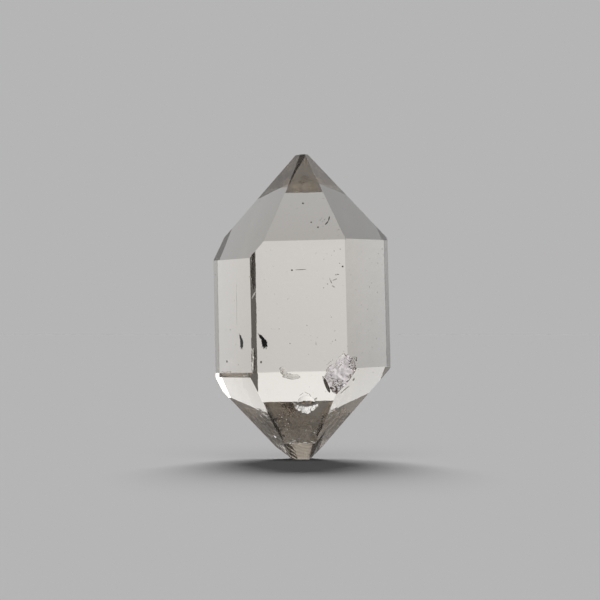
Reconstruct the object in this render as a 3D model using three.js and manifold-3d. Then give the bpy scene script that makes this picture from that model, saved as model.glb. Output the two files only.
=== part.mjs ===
// A double-terminated quartz crystal of the Herkimer kind, standing on the small flat of its lower tip.
// One solid: a six-sided prism with a six-faced point at each end, cut from a block one growth face at a time,
// with the scars of two old knocks.
// +Z is up, +X runs along the crystal's width and -Y is its front. The origin is the middle of the rest flat.

import * as THREE from "three";
import { mergeVertices } from "three/addons/utils/BufferGeometryUtils.js";
import Module from "manifold-3d";

const wasm = await Module();
wasm.setup();

// Driving dimensions, in millimetres and degrees.
const LEAN = 1.4; // the long axis leans this far towards -X
const TURN = -0.6; // and the prism is turned this far about it
const AXIS_MIDDLE = new THREE.Vector3(0, -0.17, 14.8); // a point on the long axis, which puts the weight over the flat

// The six sides of the prism: the way each one faces, measured from the front towards +X, how far it lies from the
// axis at half height, and the heights at which the upper and the lower point's faces leave it. `tilts` are those
// of its prism face and of the upper and the lower point's face. In a perfect crystal they are 0, 38.2 and -38.2.
const SIDES = [
  { faces: 0.5, out: 6.85, upper: 21.26, lower: 8.66, tilts: [0, 38.5, -38.1] }, // front
  { faces: 59.6, out: 7.2, upper: 21.34, lower: 8.85, tilts: [0, 37.7, -37.9] }, // front right
  { faces: 120.2, out: 7.69, upper: 21.7, lower: 8.57, tilts: [0, 38.3, -38.5] }, // back right
  { faces: 179.9, out: 6.71, upper: 23.78, lower: 8.53, tilts: [0, 38.9, -38.5] }, // back
  { faces: 240, out: 7.32, upper: 21.98, lower: 6.7, tilts: [0.4, 38.8, -38.4] }, // back left
  { faces: 299.8, out: 7.62, upper: 19.69, lower: 8.2, tilts: [0.1, 37.9, -38.2] }, // front left
];

const TOP = 30; // the upper tip ends in a small worn flat at this height
const BLOCK = 80; // wider than the crystal is long

// The lower tip is broken off blunt: four steep walls rise from the square foot that the crystal rests on. Each
// leans out as it rises, and they all end inside the lower point.
const FOOT = 2.7;
const FOOT_WALLS = [
  { faces: 0, leansOut: 3.5 },
  { faces: 90, leansOut: 20 },
  { faces: 180, leansOut: 4 },
  { faces: 270, leansOut: 15 },
];
const BURIED_AT = 3.2; // height of the stub's top, which is all inside the crystal

// Where the crystal was knocked: each scar is a shallow bowl, half of an ellipsoid whose middle lies on the lower
// point's front face at x and z, and which looks out the way that `faces` and `up` say.
const SCARS = [
  { x: 3.5, z: 8.2, faces: 14, up: -18, wide: 2.6, tall: 2.9, deep: 0.5 }, // right end of the prism's lower edge
  { x: 0.45, z: 5.6, faces: 0, up: -38, wide: 1.8, tall: 1.9, deep: 0.3 }, // half way down the lower point
];
const SCAR_SEGMENTS = { round: 24, down: 16 };

const deg = THREE.MathUtils.degToRad;
const Z = new THREE.Vector3(0, 0, 1);

function solidOf(geometry) {
  const bare = geometry.clone();
  bare.deleteAttribute("normal");
  bare.deleteAttribute("uv");
  const merged = mergeVertices(bare, 1e-5);
  return new wasm.Manifold(
    new wasm.Mesh({
      numProp: 3,
      vertProperties: new Float32Array(merged.attributes.position.array),
      triVerts: new Uint32Array(merged.index.array),
    }),
  );
}

function geometryOf(solid) {
  const mesh = solid.getMesh();
  const geometry = new THREE.BufferGeometry();
  geometry.setAttribute("position", new THREE.BufferAttribute(mesh.vertProperties, 3));
  geometry.setIndex(new THREE.BufferAttribute(mesh.triVerts, 1));
  const flat = geometry.toNonIndexed();
  flat.computeVertexNormals();
  return flat;
}

// The way that is `faces` degrees round from the front and `up` degrees above level.
function direction(faces, up) {
  return new THREE.Vector3(
    Math.sin(deg(faces)) * Math.cos(deg(up)),
    -Math.cos(deg(faces)) * Math.cos(deg(up)),
    Math.sin(deg(up)),
  );
}

// From the crystal's own axes, with the long axis upright through the origin, to where it stands.
const crystalFrame = new THREE.Matrix4()
  .makeTranslation(AXIS_MIDDLE)
  .multiply(new THREE.Matrix4().makeRotationY(-deg(LEAN)))
  .multiply(new THREE.Matrix4().makeRotationZ(deg(TURN)))
  .multiply(new THREE.Matrix4().makeTranslation(0, 0, -AXIS_MIDDLE.z));

// A growth face of one side: a plane with its outward normal, through the prism face's middle line at `height`.
function growthFace({ faces, out }, tilt, height) {
  const point = direction(faces, 0).multiplyScalar(out);
  point.z = height;
  return {
    normal: direction(faces, tilt).transformDirection(crystalFrame),
    point: point.applyMatrix4(crystalFrame),
  };
}

// The prism face of one side, and its faces on the upper and the lower point.
function facesOfSide(side) {
  const heights = [AXIS_MIDDLE.z, side.upper, side.lower];
  return heights.map((height, i) => growthFace(side, side.tilts[i], height));
}

// Takes away everything outside a plane, with a block whose near side lies on it.
function cutTo(solid, { normal, point }) {
  const block = new THREE.BoxGeometry(BLOCK, BLOCK, BLOCK);
  block.translate(0, 0, BLOCK / 2);
  block.applyQuaternion(new THREE.Quaternion().setFromUnitVectors(Z, normal));
  block.translate(point.x, point.y, point.z);
  return solid.subtract(solidOf(block));
}

// A block that stands on the floor as high as `top`, cut to the given planes.
function cutBlock(top, planes) {
  const block = new THREE.BoxGeometry(BLOCK, BLOCK, top);
  block.translate(0, 0, top / 2);
  return planes.reduce(cutTo, solidOf(block));
}

function crystalBody() {
  return cutBlock(TOP, SIDES.flatMap(facesOfSide));
}

function tipStub() {
  const walls = FOOT_WALLS.map(({ faces, leansOut }) => ({
    normal: direction(faces, -leansOut),
    point: direction(faces, 0).multiplyScalar(FOOT / 2),
  }));
  return cutBlock(BURIED_AT, walls);
}

// The point of a plane that is at x and z.
function pointAt({ normal, point }, x, z) {
  const y = point.y - (normal.x * (x - point.x) + normal.z * (z - point.z)) / normal.y;
  return new THREE.Vector3(x, y, z);
}

function scarHollow(scar) {
  const hollow = new THREE.SphereGeometry(1, SCAR_SEGMENTS.round, SCAR_SEGMENTS.down);
  hollow.rotateX(Math.PI / 2);
  hollow.scale(scar.wide / 2, scar.tall / 2, scar.deep);
  hollow.rotateX(Math.PI / 2 - deg(scar.up));
  hollow.rotateZ(deg(scar.faces));
  const [, , lowerFront] = facesOfSide(SIDES[0]);
  const middle = pointAt(lowerFront, scar.x, scar.z);
  hollow.translate(middle.x, middle.y, middle.z);
  return solidOf(hollow);
}

const crystal = SCARS.reduce((solid, scar) => solid.subtract(scarHollow(scar)), crystalBody().add(tipStub()));

const clearQuartz = new THREE.MeshStandardMaterial({
  color: 0xd9d6cf,
  roughness: 0.05,
  metalness: 0,
  transparent: true,
  opacity: 0.4,
});

const crystalMesh = new THREE.Mesh(geometryOf(crystal), clearQuartz);
crystalMesh.name = "crystal";

const part = new THREE.Group();
part.add(crystalMesh);
export default part;
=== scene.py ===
# A clear double-terminated quartz crystal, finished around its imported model.
import math
import random

import bmesh
import bpy
from mathutils import Matrix, Vector, noise
from mathutils.bvhtree import BVHTree


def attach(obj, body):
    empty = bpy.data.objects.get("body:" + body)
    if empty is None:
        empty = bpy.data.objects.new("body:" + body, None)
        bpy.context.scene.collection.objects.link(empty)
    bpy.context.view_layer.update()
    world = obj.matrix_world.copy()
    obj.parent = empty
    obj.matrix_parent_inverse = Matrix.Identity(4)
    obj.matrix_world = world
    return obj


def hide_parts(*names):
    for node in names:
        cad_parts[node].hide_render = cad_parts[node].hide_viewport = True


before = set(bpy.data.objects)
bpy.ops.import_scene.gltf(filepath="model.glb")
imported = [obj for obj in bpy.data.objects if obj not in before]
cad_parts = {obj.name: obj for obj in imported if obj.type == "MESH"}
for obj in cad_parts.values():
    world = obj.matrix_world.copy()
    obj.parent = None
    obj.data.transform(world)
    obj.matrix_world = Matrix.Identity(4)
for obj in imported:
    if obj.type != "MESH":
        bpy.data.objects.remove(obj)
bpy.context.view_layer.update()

mm = 0.001
fullTurn = 2 * math.pi


# Ways are given as degrees round from the crystal's front towards +X, and degrees up.
def facing(turn, up):
    t, u = math.radians(turn), math.radians(up)
    return Vector((math.sin(t) * math.cos(u), -math.cos(t) * math.cos(u), math.sin(u)))


def seated(place, way, roll=0.0):
    # local Z looks out the given way, local Y runs up the surface
    across = Vector((0, 0, 1)).cross(way).normalized()
    turned = Matrix((across, way.cross(across), way)).transposed().to_4x4()
    return Matrix.Translation(place) @ turned @ Matrix.Rotation(math.radians(roll), 4, "Z")


def newPiece(name, bm, materials):
    mesh = bpy.data.meshes.new(name)
    bm.to_mesh(mesh)
    bm.free()
    piece = bpy.data.objects.new(name, mesh)
    bpy.context.scene.collection.objects.link(piece)
    for material in materials:
        mesh.materials.append(material)
    return piece


def newMaterial(name):
    material = bpy.data.materials.new(name)
    material.use_nodes = True
    material.node_tree.nodes.clear()
    return material, material.node_tree.nodes, material.node_tree.links


# The quartz is clear with a faint smoky warmth that only shows through a long way of it. Its growth faces are
# flat to the eye but never quite: each bump has the size of its features and a height.
quartz = {
    "ior": 1.544,
    "haze": (0.798, 0.726, 0.626),
    "hazeDensity": 40.0,  # per metre
    "bumpDetail": 3.0,
    "waveSize": 1.6 * mm,
    "waveHeight": 0.012 * mm,
    "striaSize": (12 * mm, 0.35 * mm),  # fine growth lines run across the prism
    "striaHeight": 0.0012 * mm,
    "swirlSize": 0.7 * mm,  # the lower point is crinkled too
    "swirlHeight": 0.14 * mm,
    "swirlFrom": 5.35 * mm,  # not at all above this height
    "swirlFull": 4.2 * mm,  # and fully below this one
}

# Worn, broken and dark places are the same quartz with a tint, a roughness and a grain of their own; the
# dark tint is painted shade. The grain is the size of its features and its height.
finishes = {
    "fracturedQuartz": {"tint": (0.94, 0.885, 1.0), "roughness": 0.07, "grain": (0.3 * mm, 0.06 * mm)},
    "brokenQuartz": {"tint": (0.46, 0.405, 0.34), "roughness": 0.3, "grain": (0.3 * mm, 0.03 * mm)},
    "satinQuartz": {"tint": (0.85, 0.94, 1.0), "roughness": 0.03, "grain": (0.9 * mm, 0.015 * mm)},
    # painted shade: this near-black tint stands in for the shade on dark chips, walls and hollows
    "paintedShadeQuartz": {"tint": (0.06, 0.052, 0.045), "roughness": 0.12, "grain": (0.2 * mm, 0.05 * mm)},
    "scuffedQuartz": {"tint": (0.74, 0.72, 0.7), "roughness": 0.12, "grain": (0.15 * mm, 0.04 * mm)},
    "brownedQuartz": {"tint": (0.58, 0.44, 0.34), "roughness": 0.0, "grain": (1.6 * mm, 0.012 * mm)},
}

# The crystal's material slots: the clear quartz and then the finishes, in their order.
clearSlot, fracturedSlot, brokenSlot, satinSlot, paintedShadeSlot, scuffedSlot, brownedSlot = range(7)


def unevenness(nodes, links, coordinates, size, height, below=None, share=None):
    # a bump of the given height, with features of the given size across and up, laid over the one below it
    across, upward = size
    scaled = nodes.new("ShaderNodeMapping")
    scaled.inputs["Scale"].default_value = (1 / across, 1 / across, 1 / upward)
    links.new(coordinates, scaled.inputs["Vector"])
    cloud = nodes.new("ShaderNodeTexNoise")
    cloud.inputs["Scale"].default_value = 1.0
    cloud.inputs["Detail"].default_value = quartz["bumpDetail"]
    links.new(scaled.outputs["Vector"], cloud.inputs["Vector"])
    bump = nodes.new("ShaderNodeBump")
    bump.inputs["Distance"].default_value = height
    links.new(cloud.outputs["Fac"], bump.inputs["Height"])
    if share:
        links.new(share, bump.inputs["Strength"])
    if below:
        links.new(below, bump.inputs["Normal"])
    return bump.outputs["Normal"]


def lowerPointShare(nodes, links, coordinates):
    # none of the swirl above swirlFrom, and all of it below swirlFull
    heights = nodes.new("ShaderNodeSeparateXYZ")
    links.new(coordinates, heights.inputs["Vector"])
    share = nodes.new("ShaderNodeMapRange")
    share.inputs["From Min"].default_value = quartz["swirlFrom"]
    share.inputs["From Max"].default_value = quartz["swirlFull"]
    links.new(heights.outputs["Z"], share.inputs["Value"])
    return share.outputs["Result"]


def quartzMaterial(name, tint, roughness, bumps, crinkledPoint=False):
    material, nodes, links = newMaterial(name)
    output = nodes.new("ShaderNodeOutputMaterial")
    glass = nodes.new("ShaderNodeBsdfPrincipled")
    glass.inputs["Base Color"].default_value = (*tint, 1)
    glass.inputs["Roughness"].default_value = roughness
    glass.inputs["IOR"].default_value = quartz["ior"]
    glass.inputs["Transmission Weight"].default_value = 1.0
    coordinates = nodes.new("ShaderNodeTexCoord").outputs["Object"]
    normal = None
    for size, height in bumps:
        normal = unevenness(nodes, links, coordinates, size, height, normal)
    if crinkledPoint:
        swirl = quartz["swirlSize"], quartz["swirlSize"]
        share = lowerPointShare(nodes, links, coordinates)
        normal = unevenness(nodes, links, coordinates, swirl, quartz["swirlHeight"], normal, share)
    links.new(normal, glass.inputs["Normal"])
    links.new(glass.outputs["BSDF"], output.inputs["Surface"])
    haze = nodes.new("ShaderNodeVolumeAbsorption")
    haze.inputs["Color"].default_value = (*quartz["haze"], 1)
    haze.inputs["Density"].default_value = quartz["hazeDensity"]
    links.new(haze.outputs["Volume"], output.inputs["Volume"])
    return material


def quartzMaterials():
    wave = ((quartz["waveSize"], quartz["waveSize"]), quartz["waveHeight"])
    stria = (quartz["striaSize"], quartz["striaHeight"])
    made = [quartzMaterial("clearQuartz", (1, 1, 1), 0.0, [wave, stria], crinkledPoint=True)]
    for name, finish in finishes.items():
        grainSize, grainHeight = finish["grain"]
        grain = ((grainSize, grainSize), grainHeight)
        made.append(quartzMaterial(name, finish["tint"], finish["roughness"], [grain]))
    print("quartz materials:", len(made))
    return made


crystalShape = {
    "weld": 0.0005 * mm,
    "sameFace": math.radians(0.3),  # triangles flatter to each other than this belong to one growth face
    "nearlyThatWay": math.radians(15),  # how far a growth face may look from the way it is asked for by
    "thatWay": math.radians(5),  # and how far when a face is picked for its finish
    "edgeAngle": math.radians(12),
    "edgeLength": 0.9 * mm,  # shorter edges belong to the scars
    "edgeRound": 0.03 * mm,
    "pointSlope": 38,  # degrees that the upper point's faces look up
    "satinFace": (180, 38.9),  # the back face of the upper point is a little satiny
    "brownedAbove": [(-60, 26.6 * mm), (60, 26.9 * mm)],  # its front sides are browned above these heights
}


def facesLooking(bm, way, within):
    return [f for f in bm.faces if f.normal.angle(way) < within]


def growthFace(bm, turn, up):
    # the largest face of the crystal that looks nearly that way
    near = facesLooking(bm, facing(turn, up), crystalShape["nearlyThatWay"])
    face = max(near, key=lambda f: f.calc_area())
    return face.normal.copy(), face.calc_center_median()


def onFace(plane, x, z):
    normal, point = plane
    y = point.y - (normal.x * (x - point.x) + normal.z * (z - point.z)) / normal.y
    return Vector((x, y, z))


def parts(faces):
    # the faces with their edges and corners
    return list({e for f in faces for e in f.edges} | {v for f in faces for v in f.verts}) + list(faces)


def cutAway(bm, place, way):
    # takes off all that lies beyond a plane, and closes the cut
    whole = bm.verts[:] + bm.edges[:] + bm.faces[:]
    cut = bmesh.ops.bisect_plane(bm, geom=whole, plane_co=place, plane_no=way, clear_outer=True)
    rim = [e for e in cut["geom_cut"] if isinstance(e, bmesh.types.BMEdge)]
    return bmesh.ops.holes_fill(bm, edges=rim, sides=0)["faces"]


def mergedCopy(node):
    bm = bmesh.new()
    bm.from_mesh(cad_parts[node].data)
    bmesh.ops.remove_doubles(bm, verts=bm.verts, dist=crystalShape["weld"])
    bmesh.ops.dissolve_limit(bm, angle_limit=crystalShape["sameFace"], verts=bm.verts, edges=bm.edges)
    return bm


def satinBack(bm):
    for face in facesLooking(bm, facing(*crystalShape["satinFace"]), crystalShape["thatWay"]):
        face.material_index = satinSlot


def brownTip(bm):
    # a breath of brown on the two front sides of the upper tip
    for turn, height in crystalShape["brownedAbove"]:
        way = facing(turn, crystalShape["pointSlope"])
        side = facesLooking(bm, way, crystalShape["thatWay"])
        level = Vector((0, 0, height))
        bmesh.ops.bisect_plane(bm, geom=parts(side), plane_co=level, plane_no=Vector((0, 0, 1)))
        for face in facesLooking(bm, way, crystalShape["thatWay"]):
            if face.calc_center_median().z > height:
                face.material_index = brownedSlot


def roundEdges(bm):
    long = [e for e in bm.edges if e.calc_length() > crystalShape["edgeLength"]]
    sharp = [e for e in long if e.calc_face_angle(0) > crystalShape["edgeAngle"]]
    bmesh.ops.bevel(bm, geom=sharp, offset=crystalShape["edgeRound"], offset_type="OFFSET", affect="EDGES",
                    segments=1, profile=0.5, material=-1, clamp_overlap=True)


# A narrow break down the left front edge of the upper point, from a point on that edge at x and z.
chip = {
    "from": (-1.16, 27.0),
    "into": 1.7,  # degrees that it leans in
    "between": (0, -60),  # the two faces that meet along the edge
}


def chipEdge(bm):
    # a plane through the point, leaning in as it rises, takes a long thin wedge off
    front, left = [growthFace(bm, turn, crystalShape["pointSlope"]) for turn in chip["between"]]
    x, z = chip["from"]
    along = front[0].cross(left[0]).normalized()
    if along.z < 0:
        along = -along
    way = (front[0] + left[0]).normalized() + along * math.tan(math.radians(chip["into"]))
    for face in cutAway(bm, onFace(front, x * mm, z * mm), way.normalized()):
        # painted shade: the broken faces are tinted dark so the chip shows as a dark line
        face.material_index = paintedShadeSlot


# The blunt lower tip: its square foot is worn narrower, with its corners pulled in, and the walls over it are
# shell-like breaks, with painted light and shade: pale near the middle, dark to the sides. Each seam runs
# down the front and the back wall, from one x at seamTop to another at the foot.
tip = {
    "foot": (-1.0, 0.86),
    "footLevel": 0.01 * mm,  # corners below this belong to the foot
    "cornerIn": 0.55,
    "seams": [(-0.97, -0.42), (1.05, 0.73)],
    "seamTop": 1.4,
    "wallNormal": (-0.45, -0.03),  # the walls' normals have their Z between these
    "wallTop": 1.9 * mm,  # the walls have their middles below this
    # painted light and shade: pale walls stand for lit ones, dark walls for shaded ones
    "paleWithin": 0.3 * mm,  # walls whose middles are nearer to x = 0 are pale, the others dark
    "reach": 2.2 * mm,  # the walls lie within this of the middle of the foot
    "slice": 0.07 * mm,  # they are sliced this finely and then rippled
    "ripple": 0.02 * mm,
    "pitch": 0.3 * mm,
    "wander": {"size": 0.5 * mm, "by": 2},  # the ripples stray from true rings by up to so many radians
    "grit": {"size": 0.2 * mm, "by": 1.5},  # and are rough
    # painted highlight: the crests of the left wall's ripples are pale as if lit
    "paleCrest": 0.5,  # the dark wall at the left is pale where its ripples stand above this
    "struck": (0.6, -1.4, 3.2),  # the middle of the rings
}
tipSlots = (brokenSlot, paintedShadeSlot)


def tipWalls(bm):
    return [f for f in bm.faces if f.material_index in tipSlots and f.calc_center_median().z < tip["wallTop"]]


def narrowFoot(bm):
    # parts the walls along the seams and draws the foot in
    least, most = tip["wallNormal"]
    for face in bm.faces:
        if least < face.normal.z < most and face.calc_center_median().z < tip["wallTop"]:
            face.material_index = brokenSlot
    for high, low in tip["seams"]:
        across = Vector((tip["seamTop"], 0, low - high)).normalized()
        seamFoot = Vector((low * mm, 0, 0))
        bmesh.ops.bisect_plane(bm, geom=parts(tipWalls(bm)), plane_co=seamFoot, plane_no=across)
    left, right = tip["foot"]
    for v in bm.verts:
        if v.co.z < tip["footLevel"] and not left * mm < v.co.x < right * mm:
            v.co.x = (right if v.co.x > 0 else left) * mm
            v.co.y *= tip["cornerIn"]
    # pale walls near the middle as painted light, the others dark as painted shade
    for face in tipWalls(bm):
        pale = abs(face.calc_center_median().x) < tip["paleWithin"]
        face.material_index = brokenSlot if pale else paintedShadeSlot


def sliceWalls(bm):
    bmesh.ops.triangulate(bm, faces=tipWalls(bm))
    for way in (Vector((1, 0, 0)), Vector((0, 1, 0)), Vector((0, 0, 1))):
        for k in range(int(2 * tip["reach"] / tip["slice"])):
            place = way * (k * tip["slice"] - tip["reach"])
            bmesh.ops.bisect_plane(bm, geom=parts(tipWalls(bm)), plane_co=place, plane_no=way)


def tipRing(place, struck):
    # shell-like rings round the place where the tip was struck
    wander = tip["wander"]["by"] * noise.noise(place / tip["wander"]["size"])
    return math.sin(fullTurn * ((place - struck).length / tip["pitch"]) + wander)


def breakTip(bm):
    sliceWalls(bm)
    struck = Vector(tip["struck"]) * mm
    # painted highlight on the crests of the dark left wall's ripples
    for face in tipWalls(bm):
        centre = face.calc_center_median()
        if face.material_index == paintedShadeSlot and centre.x < 0 and tipRing(centre, struck) > tip["paleCrest"]:
            face.material_index = brokenSlot
    moves = []
    for v in bm.verts:
        # only corners that lie wholly within the walls move
        if v.co.z < tip["wallTop"] and all(f.material_index in tipSlots for f in v.link_faces):
            grit = tip["grit"]["by"] * noise.noise(v.co / tip["grit"]["size"])
            moves.append((v, v.normal * (tipRing(v.co, struck) + grit - 1) * tip["ripple"]))
    for v, move in moves:
        v.co += move
        v.co.z = max(v.co.z, 0)  # the foot stays level
    for face in tipWalls(bm):
        face.smooth = True


# Knocks on the front, in millimetres and degrees. Each lies on a growth face at x and z, looks out its own
# way and is the hollow of a crumpled ellipsoid: `waves` are its broad swells, `creases` its sharp ridges and
# `ripples` its shell-like rings round the place where it was struck.
# knocks in the dark slot are painted dark, as shade
scars = {
    "corner": {
        "face": (0, -38.2), "x": 4.05, "z": 7.8, "turn": 20, "up": -19, "roll": 0,
        "wide": 3.7, "tall": 4.3, "deep": 0.85, "slot": fracturedSlot, "detail": 6,
        "waves": 0.16, "creases": 0.34, "ripples": 0.05, "rings": 5, "struck": (0.5, 0.8), "seed": 3,
    },
    "cornerMiddleLobe": {
        "face": (0, 0), "x": 3.75, "z": 9.35, "turn": 6, "up": 4, "roll": -20,
        "wide": 1.1, "tall": 2.1, "deep": 0.3, "slot": clearSlot, "detail": 5,
        "waves": 0.1, "creases": 0.16, "ripples": 0.04, "rings": 4, "struck": (0.2, -0.9), "seed": 17,
    },
    "bowl": {
        "face": (0, -38.2), "x": 0.4, "z": 5.75, "turn": 0, "up": 4, "roll": 0,
        "wide": 2.4, "tall": 3.9, "deep": 1.0, "slot": clearSlot, "detail": 6, "ceiling": -65,
        "waves": 0.14, "creases": 0.27, "ripples": 0.02, "rings": 4, "struck": (0.1, 0.9), "seed": 31,
    },
    "scallopUpright": {
        "face": (0, 0), "x": -1.66, "z": 8.5, "turn": -22, "up": -14, "roll": 26,
        "wide": 0.62, "tall": 1.35, "deep": 0.22, "slot": scuffedSlot, "detail": 5,
        "waves": 0.25, "creases": 0.3, "ripples": 0.0, "rings": 1, "struck": (0, 0), "seed": 41,
    },
    "scallopLevel": {
        "face": (0, -38.2), "x": -0.95, "z": 8.2, "turn": -6, "up": -44, "roll": -8,
        "wide": 1.5, "tall": 0.6, "deep": 0.22, "slot": scuffedSlot, "detail": 5,
        "waves": 0.25, "creases": 0.3, "ripples": 0.0, "rings": 1, "struck": (0, 0), "seed": 43,
    },
    # painted shade: these dark hollows stand for the dark band down the front-left prism edge
    "bruiseLowPaintedShade": {
        "face": (0, 0), "x": -4.52, "z": 9.8, "turn": -4, "up": 0, "roll": 0,
        "wide": 0.24, "tall": 1.8, "deep": 0.12, "slot": paintedShadeSlot, "detail": 5,
        "waves": 0.2, "creases": 0.5, "ripples": 0.12, "rings": 9, "struck": (0, -1.2), "seed": 53,
    },
    "bruiseLow": {
        "face": (0, 0), "x": -4.74, "z": 9.8, "turn": -4, "up": 0, "roll": 0,
        "wide": 0.26, "tall": 1.9, "deep": 0.15, "slot": clearSlot, "detail": 5,
        "waves": 0.3, "creases": 0.7, "ripples": 0.12, "rings": 8, "struck": (0, -1.2), "seed": 51,
    },
    # painted shade: the upper part of the dark band down the front-left prism edge
    "bruiseHighPaintedShade": {
        "face": (0, 0), "x": -4.64, "z": 18.5, "turn": -4, "up": 0, "roll": 1,
        "wide": 0.4, "tall": 3.0, "deep": 0.1, "slot": paintedShadeSlot, "detail": 5,
        "waves": 0.2, "creases": 0.5, "ripples": 0.1, "rings": 12, "struck": (0, 1.2), "seed": 57,
    },
    # painted shade: both frayed edges below are dark, as the shade along the lower point's edges
    "frayedEdgeRight": {
        "face": (0, -38.2), "x": 1.72, "z": 2.9, "turn": 3, "up": -38, "roll": -20,
        "wide": 0.24, "tall": 1.7, "deep": 0.12, "slot": paintedShadeSlot, "detail": 5,
        "waves": 0.3, "creases": 0.6, "ripples": 0.1, "rings": 7, "struck": (0, -1.2), "seed": 67,
    },
    "frayedEdge": {
        "face": (0, -38.2), "x": -2.62, "z": 3.4, "turn": -3, "up": -38, "roll": 20,
        "wide": 0.3, "tall": 3.4, "deep": 0.14, "slot": paintedShadeSlot, "detail": 5,
        "waves": 0.3, "creases": 0.6, "ripples": 0.1, "rings": 9, "struck": (0, -1.2), "seed": 61,
    },
}

# How the knocks are crumpled: each kind of noise has its scale on a sphere of radius one, and the sharp
# ridges come in two kinds, each with its share.
crumpling = {
    "swellScale": 1.6,
    "ridges": {"scale": 3.1, "shift": 0.7, "share": 0.7},
    "fineRidges": {"scale": 7.3, "shift": 1.3, "share": 0.3},
    "struckDepth": -0.3,  # the rings' middle lies this far behind the sphere's own
}


def sharpRidges(place, shift, scale):
    # 1 along the crests, and down to -1 between them
    return 1 - 2 * abs(noise.noise(place * scale + shift))


def crumple(bm, scar):
    # pushes the sphere in and out, before it is scaled to the scar's size
    shift = Vector((scar["seed"], 2 * scar["seed"], 3 * scar["seed"]))
    struck = Vector((*scar["struck"], crumpling["struckDepth"]))
    ridges, fineRidges = crumpling["ridges"], crumpling["fineRidges"]
    for v in bm.verts:
        p = v.co.copy()
        swell = noise.fractal(p * crumpling["swellScale"] + shift, 1.0, 2.0, 5)
        ridge = sharpRidges(p, shift * ridges["shift"], ridges["scale"])
        fine = sharpRidges(p, shift * fineRidges["shift"], fineRidges["scale"])
        crease = ridges["share"] * ridge + fineRidges["share"] * fine
        ring = math.sin(fullTurn * scar["rings"] * (p - struck).length / 2)
        v.co *= 1 + scar["waves"] * swell + scar["creases"] * crease / 2 + scar["ripples"] * ring


def scarCutter(body, scar):
    cutter = bmesh.new()
    bmesh.ops.create_icosphere(cutter, subdivisions=scar["detail"], radius=1.0)
    crumple(cutter, scar)
    size = Vector((scar["wide"] / 2, scar["tall"] / 2, scar["deep"])) * mm
    bmesh.ops.scale(cutter, vec=size, verts=cutter.verts)
    place = onFace(growthFace(body, *scar["face"]), scar["x"] * mm, scar["z"] * mm)
    seat = seated(place, facing(scar["turn"], scar["up"]), scar["roll"])
    bmesh.ops.transform(cutter, matrix=seat, verts=cutter.verts)
    for face in cutter.faces:
        face.smooth = True
        face.material_index = scar["slot"]
    if "ceiling" in scar:
        # the hollow ends above in a flat that looks steeply down, painted dark as shade
        for face in cutAway(cutter, place, -facing(scar["turn"], scar["ceiling"])):
            face.smooth = False
            face.material_index = paintedShadeSlot
    return cutter
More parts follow.
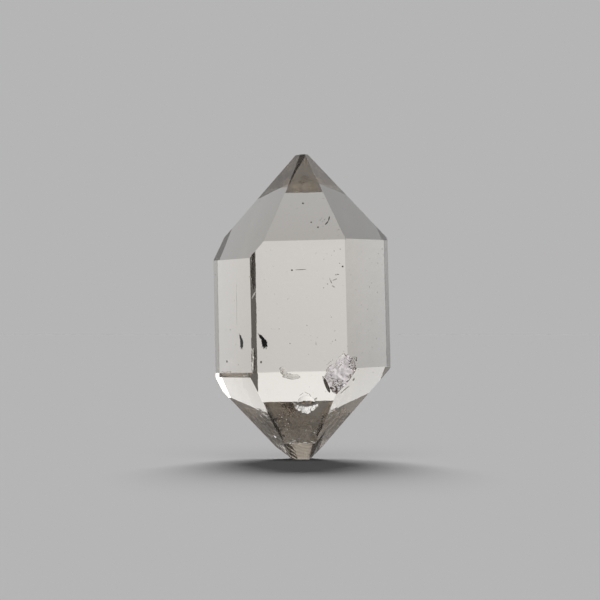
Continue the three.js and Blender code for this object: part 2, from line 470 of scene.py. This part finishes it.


# Small nicks and cracks, in millimetres as they show from the front. Each sits on whatever surface is there,
# and is clear where it names no slot; those in the dark slot are painted dark, as shade.
nicks = [
    {"x": 2.62, "z": 23.42, "wide": 0.12, "tall": 0.6, "deep": 0.3, "roll": -10, "slot": paintedShadeSlot},
    {"x": 2.4, "z": 22.98, "wide": 0.12, "tall": 0.55, "deep": 0.3, "roll": -38, "slot": paintedShadeSlot},
    {"x": 2.12, "z": 23.25, "wide": 0.1, "tall": 0.6, "deep": 0.17, "roll": -36},
    {"x": 1.86, "z": 23.4, "wide": 0.09, "tall": 0.5, "deep": 0.14, "roll": -36},
    {"x": 3.35, "z": 17.98, "wide": 0.44, "tall": 0.12, "deep": 0.2, "roll": 6, "slot": scuffedSlot},
    {"x": 2.75, "z": 17.4, "wide": 0.13, "tall": 0.6, "deep": 0.22, "roll": 24, "slot": scuffedSlot},
    {"x": 3.15, "z": 17.5, "wide": 0.5, "tall": 0.11, "deep": 0.17, "roll": 20, "slot": scuffedSlot},
    {"x": 3.0, "z": 16.85, "wide": 0.34, "tall": 0.13, "deep": 0.19, "roll": -30, "slot": scuffedSlot},
    {"x": -0.95, "z": 18.4, "wide": 0.2, "tall": 0.16, "deep": 0.27, "roll": 0, "slot": paintedShadeSlot},
    {"x": -0.1, "z": 18.45, "wide": 1.1, "tall": 0.06, "deep": 0.1, "roll": 3, "slot": paintedShadeSlot},
    {"x": 3.9, "z": 18.75, "wide": 0.17, "tall": 0.17, "deep": 0.24, "roll": 0, "slot": paintedShadeSlot},
    {"x": -3.9, "z": 9.6, "wide": 0.18, "tall": 0.24, "deep": 0.27, "roll": 0, "slot": paintedShadeSlot},
    {"x": 1.35, "z": 11.4, "wide": 0.09, "tall": 0.36, "deep": 0.2, "roll": 5, "slot": scuffedSlot},
    {"x": -7.3, "z": 9.6, "wide": 0.16, "tall": 0.24, "deep": 0.24, "roll": 0, "slot": paintedShadeSlot},
    {"x": 0.1, "z": 24.95, "wide": 0.18, "tall": 0.18, "deep": 0.24, "roll": 0, "slot": paintedShadeSlot},
    {"x": 1.55, "z": 22.55, "wide": 0.18, "tall": 0.16, "deep": 0.24, "roll": 0, "slot": paintedShadeSlot},
    {"x": 0.9, "z": 23.05, "wide": 0.14, "tall": 0.14, "deep": 0.17, "roll": 0, "slot": paintedShadeSlot},
    {"x": -6.3, "z": 14.6, "wide": 0.05, "tall": 5.2, "deep": 0.07, "roll": 0},
    {"x": -4.62, "z": 16.0, "wide": 0.13, "tall": 0.8, "deep": 0.17, "roll": -28},
    # painted shade: the steep wall at the corner scar's lower left, dark as in shadow
    {"x": 2.4, "z": 7.35, "wide": 0.36, "tall": 2.4, "deep": 0.8, "roll": 21, "slot": paintedShadeSlot},
    {"x": 3.46, "z": 7.46, "wide": 0.15, "tall": 0.95, "deep": 0.51, "roll": -68},
    {"x": 2.9, "z": 7.85, "wide": 0.13, "tall": 0.6, "deep": 0.42, "roll": 80},
    {"x": 2.93, "z": 8.7, "wide": 0.12, "tall": 0.6, "deep": 0.34, "roll": 70},
    {"x": 3.22, "z": 9.18, "wide": 0.11, "tall": 0.75, "deep": 0.34, "roll": -48},
    {"x": 3.6, "z": 9.2, "wide": 0.1, "tall": 0.7, "deep": 0.34, "roll": -45},
    {"x": 2.65, "z": 9.6, "wide": 0.12, "tall": 0.9, "deep": 0.26, "roll": -50},
    {"x": 4.1, "z": 9.65, "wide": 0.13, "tall": 0.8, "deep": 0.34, "roll": 8},
    {"x": 4.3, "z": 7.05, "wide": 0.1, "tall": 1.7, "deep": 0.26, "roll": -57, "slot": scuffedSlot},
    {"x": 5.0, "z": 7.9, "wide": 0.22, "tall": 0.36, "deep": 0.34, "roll": -20, "slot": scuffedSlot},
    {"x": -0.1, "z": 6.45, "wide": 0.07, "tall": 0.7, "deep": 0.1, "roll": -50, "slot": scuffedSlot},
    {"x": 0.5, "z": 6.6, "wide": 0.06, "tall": 0.6, "deep": 0.1, "roll": 60, "slot": scuffedSlot},
    {"x": 0.8, "z": 6.35, "wide": 0.07, "tall": 0.5, "deep": 0.1, "roll": 20, "slot": scuffedSlot},
    {"x": -2.72, "z": 2.25, "wide": 0.3, "tall": 0.62, "deep": 0.3, "roll": 62},
    {"x": 1.3, "z": 6.0, "wide": 0.2, "tall": 0.5, "deep": 0.34, "roll": -40, "slot": scuffedSlot},
]

# Edges frayed by small chips: each row runs from one x and z to another, with its chips up to `aside` off the
# line, no nearer to each other than `apart`. A chip's length is up to `longest` times its width.
wornEdges = {
    "seed": 11,
    "longest": 1.8,
    "rows": [
        # both rows' chips are painted dark, as shade along the lower point's edges
        {"from": (-3.3, 5.4), "to": (-1.8, 2.2), "count": 24, "aside": 0.12, "apart": 0.01,
         "size": (0.14, 0.32), "slot": paintedShadeSlot},
        {"from": (2.05, 4.4), "to": (1.4, 2.4), "count": 10, "aside": 0.1, "apart": 0.01,
         "size": (0.12, 0.28), "slot": paintedShadeSlot},
    ],
}

# Fine pits strewn over the growth faces, and crowded where the crystal was bruised. Each patch has its
# stretch of x and z, seen from the front or from the back, the number of pits that are wanted and the sizes
# of the smallest and the largest. Pits in the dark slot are painted dark, as shade.
pits = {
    "seed": 5,
    "longest": 1.6,
    "patches": [
        {"back": False, "count": 70, "x": (-8.2, 8.2), "z": (9.3, 20.5), "apart": 0.3, "size": (0.04, 0.12)},
        {"back": False, "count": 30, "x": (-4.5, 4.5), "z": (21.2, 25.8), "apart": 0.3, "size": (0.04, 0.11)},
        # painted shade: a dark speckled patch at the right of the corner scar
        {"back": False, "count": 30, "x": (4.5, 5.25), "z": (8.9, 10.1), "apart": 0.01, "size": (0.1, 0.2),
         "slot": paintedShadeSlot},
        {"back": False, "count": 90, "x": (-8.0, -5.1), "z": (8.1, 8.6), "apart": 0.01, "size": (0.1, 0.2)},
        {"back": False, "count": 12, "x": (-3.0, -1.2), "z": (2.2, 4.5), "apart": 0.2, "size": (0.05, 0.14)},
        {"back": True, "count": 50, "x": (-8.2, 8.2), "z": (8.0, 21.5), "apart": 0.3, "size": (0.04, 0.12)},
    ],
}

# Both are strewn by trying this many marks for each one wanted and keeping those that have room.
triesForEach = 8
clearOfEachOther = 0.02  # marks nearer than this, in millimetres, aren't cut in one go
farOut = 40 * mm  # marks are dropped onto the crystal from this far off


def clearance(mark, placed):
    # how far a mark is from the nearest one on its side
    reach = max(mark["wide"], mark["tall"]) / 2
    gaps = [math.hypot(mark["x"] - n["x"], mark["z"] - n["z"]) - reach - max(n["wide"], n["tall"]) / 2
            for n in placed if n["back"] == mark["back"]]
    return min(gaps, default=math.inf)


def keepThoseWithRoom(tried, wanted, gap, placed):
    for mark in tried:
        if wanted and clearance(mark, placed) > gap:
            placed.append(mark)
            wanted -= 1


def edgeChip(rng, row):
    start, end = Vector(row["from"]), Vector(row["to"])
    aside = (end - start).orthogonal().normalized()
    spot = start.lerp(end, rng.random()) + aside * rng.uniform(-1, 1) * row["aside"]
    wide = rng.uniform(*row["size"])
    tall = wide * rng.uniform(1, wornEdges["longest"])
    return {"x": spot.x, "z": spot.y, "wide": wide, "tall": tall, "deep": wide, "roll": rng.uniform(0, 180),
            "back": False, "slot": row["slot"]}


def finePit(rng, patch):
    smallest, largest = patch["size"]
    x, z = rng.uniform(*patch["x"]), rng.uniform(*patch["z"])
    wide = smallest + (largest - smallest) * rng.random() ** 2
    tall = wide * rng.uniform(1, pits["longest"])
    return {"x": x, "z": z, "wide": wide, "tall": tall, "deep": wide, "roll": rng.uniform(0, 180),
            "back": patch["back"], "slot": patch.get("slot", clearSlot)}


def smallMarks():
    placed = [dict(nick, back=False) for nick in nicks]
    rng = random.Random(wornEdges["seed"])
    for row in wornEdges["rows"]:
        tried = [edgeChip(rng, row) for _ in range(row["count"] * triesForEach)]
        keepThoseWithRoom(tried, row["count"], row["apart"], placed)
    rng = random.Random(pits["seed"])
    for patch in pits["patches"]:
        tried = [finePit(rng, patch) for _ in range(patch["count"] * triesForEach)]
        keepThoseWithRoom(tried, patch["count"], patch["apart"], placed)
    print("small marks:", len(placed))
    return placed


def apart(marks):
    # shares the marks out into groups in which none touches another
    groups = []
    for mark in marks:
        free = [group for group in groups if clearance(mark, group) > clearOfEachOther]
        if free:
            free[0].append(mark)
        else:
            groups.append([mark])
    return groups


def marksCutter(marks, surface):
    # one cutter for a group of marks, each seated where a line from the front or the back meets the surface
    cutter = bmesh.new()
    for mark in marks:
        side = 1 if mark["back"] else -1
        start = Vector((mark["x"] * mm, side * farOut, mark["z"] * mm))
        place = surface.ray_cast(start, Vector((0, -side, 0)))[0]
        if place is None:
            continue
        made = bmesh.ops.create_icosphere(cutter, subdivisions=2, radius=1.0)["verts"]
        for face in {f for v in made for f in v.link_faces}:
            face.smooth = True
            face.material_index = mark.get("slot", clearSlot)
        size = Vector((mark["wide"] / 2, mark["tall"] / 2, mark["deep"])) * mm
        bmesh.ops.scale(cutter, vec=size, verts=made)
        bmesh.ops.transform(cutter, matrix=seated(place, Vector((0, side, 0)), mark["roll"]), verts=made)
    return cutter


def carve(body, cutters):
    # takes the cutters out of the body, one at a time, and leaves a plain mesh
    for bm in cutters:
        cutter = newPiece("cutter", bm, body.data.materials)
        cut = body.modifiers.new("cut", "BOOLEAN")
        cut.operation = "DIFFERENCE"
        cut.solver = "EXACT"
        cut.object = cutter
        bpy.context.view_layer.update()
        shaped = bpy.data.meshes.new_from_object(body.evaluated_get(bpy.context.evaluated_depsgraph_get()))
        body.modifiers.clear()
        body.data = shaped
        bpy.data.objects.remove(cutter)


def surfaceOf(mesh):
    bm = bmesh.new()
    bm.from_mesh(mesh)
    surface = BVHTree.FromBMesh(bm)
    bm.free()
    return surface


def dropCrumbs(bm):
    # the cuts can leave tiny loose crumbs, so only what hangs together with the largest face stays
    largest = max(bm.faces, key=lambda f: f.calc_area())
    joined, fresh = {largest}, [largest]
    while fresh:
        face = fresh.pop()
        for near in {f for e in face.edges for f in e.link_faces} - joined:
            joined.add(near)
            fresh.append(near)
    crumbs = [f for f in bm.faces if f not in joined]
    bmesh.ops.delete(bm, geom=crumbs, context="FACES")
    print("crumbs dropped:", len(crumbs))


def finishMesh(mesh):
    # breaks the tip, and lets each smooth hollow meet the flat face round it in a crisp rim
    bm = bmesh.new()
    bm.from_mesh(mesh)
    dropCrumbs(bm)
    breakTip(bm)
    for edge in bm.edges:
        edge.smooth = all(f.smooth for f in edge.link_faces)
    bm.to_mesh(mesh)
    bm.free()


def makeCrystal():
    bm = mergedCopy("crystal")
    cutters = [scarCutter(bm, scar) for scar in scars.values()]
    print("scars:", len(cutters))
    chipEdge(bm)
    satinBack(bm)
    brownTip(bm)
    narrowFoot(bm)
    roundEdges(bm)
    for face in bm.faces:
        face.smooth = False
    crystal = newPiece("quartzCrystal", bm, quartzMaterials())
    if "custom_normal" in crystal.data.attributes:
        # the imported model's normals no longer fit
        crystal.data.attributes.remove(crystal.data.attributes["custom_normal"])
    carve(crystal, cutters)
    surface = surfaceOf(crystal.data)
    carve(crystal, [marksCutter(group, surface) for group in apart(smallMarks())])
    finishMesh(crystal.data)
    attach(crystal, "root")
    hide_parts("crystal")
    print("crystal:", len(crystal.data.polygons), "faces")


# A grain of black carbon sealed in the crystal, left of the middle. Its sizes are in millimetres.
fleck = {
    "place": (-3.78, -0.9, 11.6),
    "size": (0.32, 0.24, 0.88),
    "lean": (-0.42, -0.35),  # how it slants along X and Y as it rises
    "bend": 0.08,  # its middle bulges this far towards +X
    "taper": 0.2,  # and its top is narrower
    "rough": 0.9,
    "ridges": {"scale": 3.1, "shift": (5, 1, 2), "share": 0.5},
    "grains": {"scale": 5, "shift": (7, 7, 7), "share": 0.8},
    "colour": (0.02, 0.019, 0.017),
    "roughness": 0.3,
}


def carbonMaterial():
    material, nodes, links = newMaterial("blackCarbon")
    output = nodes.new("ShaderNodeOutputMaterial")
    carbon = nodes.new("ShaderNodeBsdfPrincipled")
    carbon.inputs["Base Color"].default_value = (*fleck["colour"], 1)
    carbon.inputs["Roughness"].default_value = fleck["roughness"]
    links.new(carbon.outputs["BSDF"], output.inputs["Surface"])
    return material


def makeFleck():
    ridges, grains = fleck["ridges"], fleck["grains"]
    bm = bmesh.new()
    bmesh.ops.create_icosphere(bm, subdivisions=5, radius=1.0)
    for v in bm.verts:
        p = v.co.copy()
        ridge = sharpRidges(p, Vector(ridges["shift"]), ridges["scale"])
        grain = noise.fractal(p * grains["scale"] + Vector(grains["shift"]), 0.6, 2.0, 4)
        v.co *= 1 + fleck["rough"] * (ridges["share"] * ridge + grains["share"] * grain)
    bmesh.ops.scale(bm, vec=Vector(fleck["size"]) * mm / 2, verts=bm.verts)
    for v in bm.verts:
        along = v.co.z / (fleck["size"][2] * mm / 2)
        v.co.x *= 1 - fleck["taper"] * along
        v.co.x += fleck["lean"][0] * v.co.z + fleck["bend"] * mm * (1 - along * along)
        v.co.y += fleck["lean"][1] * v.co.z
    bmesh.ops.translate(bm, vec=Vector(fleck["place"]) * mm, verts=bm.verts)
    piece = newPiece("carbonFleck", bm, [carbonMaterial()])
    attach(piece, "root")
    print("fleck:", len(piece.data.polygons), "faces")


# The studio: pale floor and backdrop, and soft light that the crystal sees all round.
studio = {
    "backdrop": 0.462,
    "ambient": 0.051,
    "floorColour": 0.6,
    "floorRadius": 4.0,
    "floorSides": 96,
    # the way to the middle of each soft light, how far it spreads and how bright it is
    "softLights": {
        "back left": {"turn": 187, "up": 22, "spread": 69, "strength": 0.386},
        "right": {"turn": 124, "up": 4, "spread": 94, "strength": 0.167},
        "back": {"turn": 202, "up": 25, "spread": 53, "strength": 0.121},
        "front": {"turn": 6, "up": 28, "spread": 55, "strength": 0.213},
        "left": {"turn": 235, "up": 17, "spread": 29, "strength": 0.402},
        "below": {"turn": 168, "up": -64, "spread": 67, "strength": 0.206},
        "back right": {"turn": 142, "up": 38, "spread": 62, "strength": 0.445},
        "key": {"turn": 24, "up": 34, "spread": 17, "strength": 3.4},
    },
    # lamps for the floor and the shadow on it, with their shares of its light
    "lamps": {
        "behind": {"turn": 180, "up": 40, "size": 32, "share": 0.86},
        "in front": {"turn": 0, "up": 60, "size": 50, "share": 0.14},
    },
}


def makeWorld():
    world = bpy.data.worlds.new("softStudio")
    bpy.context.scene.world = world
    world.use_nodes = True
    world.cycles_visibility.diffuse = False
    nodes, links = world.node_tree.nodes, world.node_tree.links
    nodes.clear()
    output = nodes.new("ShaderNodeOutputWorld")
    direction = nodes.new("ShaderNodeTexCoord").outputs["Generated"]
    ambient = nodes.new("ShaderNodeValue")
    ambient.outputs[0].default_value = studio["ambient"]
    total = ambient.outputs[0]
    for light in studio["softLights"].values():
        dot = nodes.new("ShaderNodeVectorMath")
        dot.operation = "DOT_PRODUCT"
        dot.inputs[1].default_value = facing(light["turn"], light["up"])
        links.new(direction, dot.inputs[0])
        fade = nodes.new("ShaderNodeMapRange")
        fade.interpolation_type = "SMOOTHSTEP"
        fade.inputs["From Min"].default_value = math.cos(math.radians(light["spread"]))
        fade.inputs["From Max"].default_value = 1.0
        fade.inputs["To Min"].default_value = 0.0
        fade.inputs["To Max"].default_value = light["strength"]
        links.new(dot.outputs["Value"], fade.inputs["Value"])
        add = nodes.new("ShaderNodeMath")
        add.operation = "ADD"
        links.new(total, add.inputs[0])
        links.new(fade.outputs["Result"], add.inputs[1])
        total = add.outputs[0]
    seenByCrystal = nodes.new("ShaderNodeBackground")
    links.new(total, seenByCrystal.inputs["Strength"])
    seenByCamera = nodes.new("ShaderNodeBackground")
    seenByCrystal.inputs["Color"].default_value = (1, 1, 1, 1)
    seenByCamera.inputs["Color"].default_value = (1, 1, 1, 1)
    seenByCamera.inputs["Strength"].default_value = studio["backdrop"]
    mix = nodes.new("ShaderNodeMixShader")
    links.new(nodes.new("ShaderNodeLightPath").outputs["Is Camera Ray"], mix.inputs[0])
    links.new(seenByCrystal.outputs[0], mix.inputs[1])
    links.new(seenByCamera.outputs[0], mix.inputs[2])
    links.new(mix.outputs[0], output.inputs["Surface"])


def makeFloor():
    bm = bmesh.new()
    bmesh.ops.create_circle(bm, cap_ends=True, segments=studio["floorSides"], radius=studio["floorRadius"])
    material, nodes, links = newMaterial("paleFloor")
    output = nodes.new("ShaderNodeOutputMaterial")
    matt = nodes.new("ShaderNodeBsdfDiffuse")
    matt.inputs["Color"].default_value = (*[studio["floorColour"]] * 3, 1)
    links.new(matt.outputs[0], output.inputs["Surface"])
    floor = newPiece("floor", bm, [material])
    floor.visible_transmission = False  # the crystal sees the soft lights below it instead
    floor.visible_glossy = False


def makeLamps():
    # together they bring the floor to the backdrop's tone
    wanted = studio["backdrop"] * math.pi / studio["floorColour"]
    for name, lamp in studio["lamps"].items():
        data = bpy.data.lights.new(name, "SUN")
        data.energy = wanted * lamp["share"] / math.sin(math.radians(lamp["up"]))
        data.angle = math.radians(lamp["size"])
        sun = bpy.data.objects.new(name, data)
        sun.rotation_euler = facing(lamp["turn"], lamp["up"]).to_track_quat("Z", "Y").to_euler()
        sun.visible_glossy = False
        sun.visible_transmission = False
        bpy.context.scene.collection.objects.link(sun)


view = {
    "distance": 237.9 * mm,
    "side": -0.18 * mm,
    "height": 12.96 * mm,
    "aimHeight": 15.62 * mm,
    "axisDepth": -0.17 * mm,
    "lens": 144.9,
    "sensor": 36.0,
    "nearest": 0.01,  # the camera sees from here to the farthest, in metres
    "farthest": 20,
}


def makeCamera():
    data = bpy.data.cameras.new("camera")
    data.sensor_width = view["sensor"]
    data.lens = view["lens"]
    data.clip_start = view["nearest"]
    data.clip_end = view["farthest"]
    camera = bpy.data.objects.new("camera", data)
    camera.location = (view["side"], view["axisDepth"] - view["distance"], view["height"])
    aim = Vector((view["side"], view["axisDepth"], view["aimHeight"])) - camera.location
    camera.rotation_euler = aim.to_track_quat("-Z", "Y").to_euler()
    bpy.context.scene.collection.objects.link(camera)
    bpy.context.scene.camera = camera


bounces = 32  # light crosses many faces inside the crystal


def setRayRules():
    scene = bpy.context.scene
    scene.view_settings.view_transform = "Standard"
    scene.view_settings.look = "None"
    scene.cycles.max_bounces = bounces
    scene.cycles.glossy_bounces = bounces
    scene.cycles.transmission_bounces = bounces
    scene.cycles.caustics_reflective = False
    scene.cycles.caustics_refractive = False
    scene.cycles.blur_glossy = 0.0


makeCrystal()
makeFleck()
makeWorld()
makeFloor()
makeLamps()
makeCamera()
setRayRules()
print("studio ready")
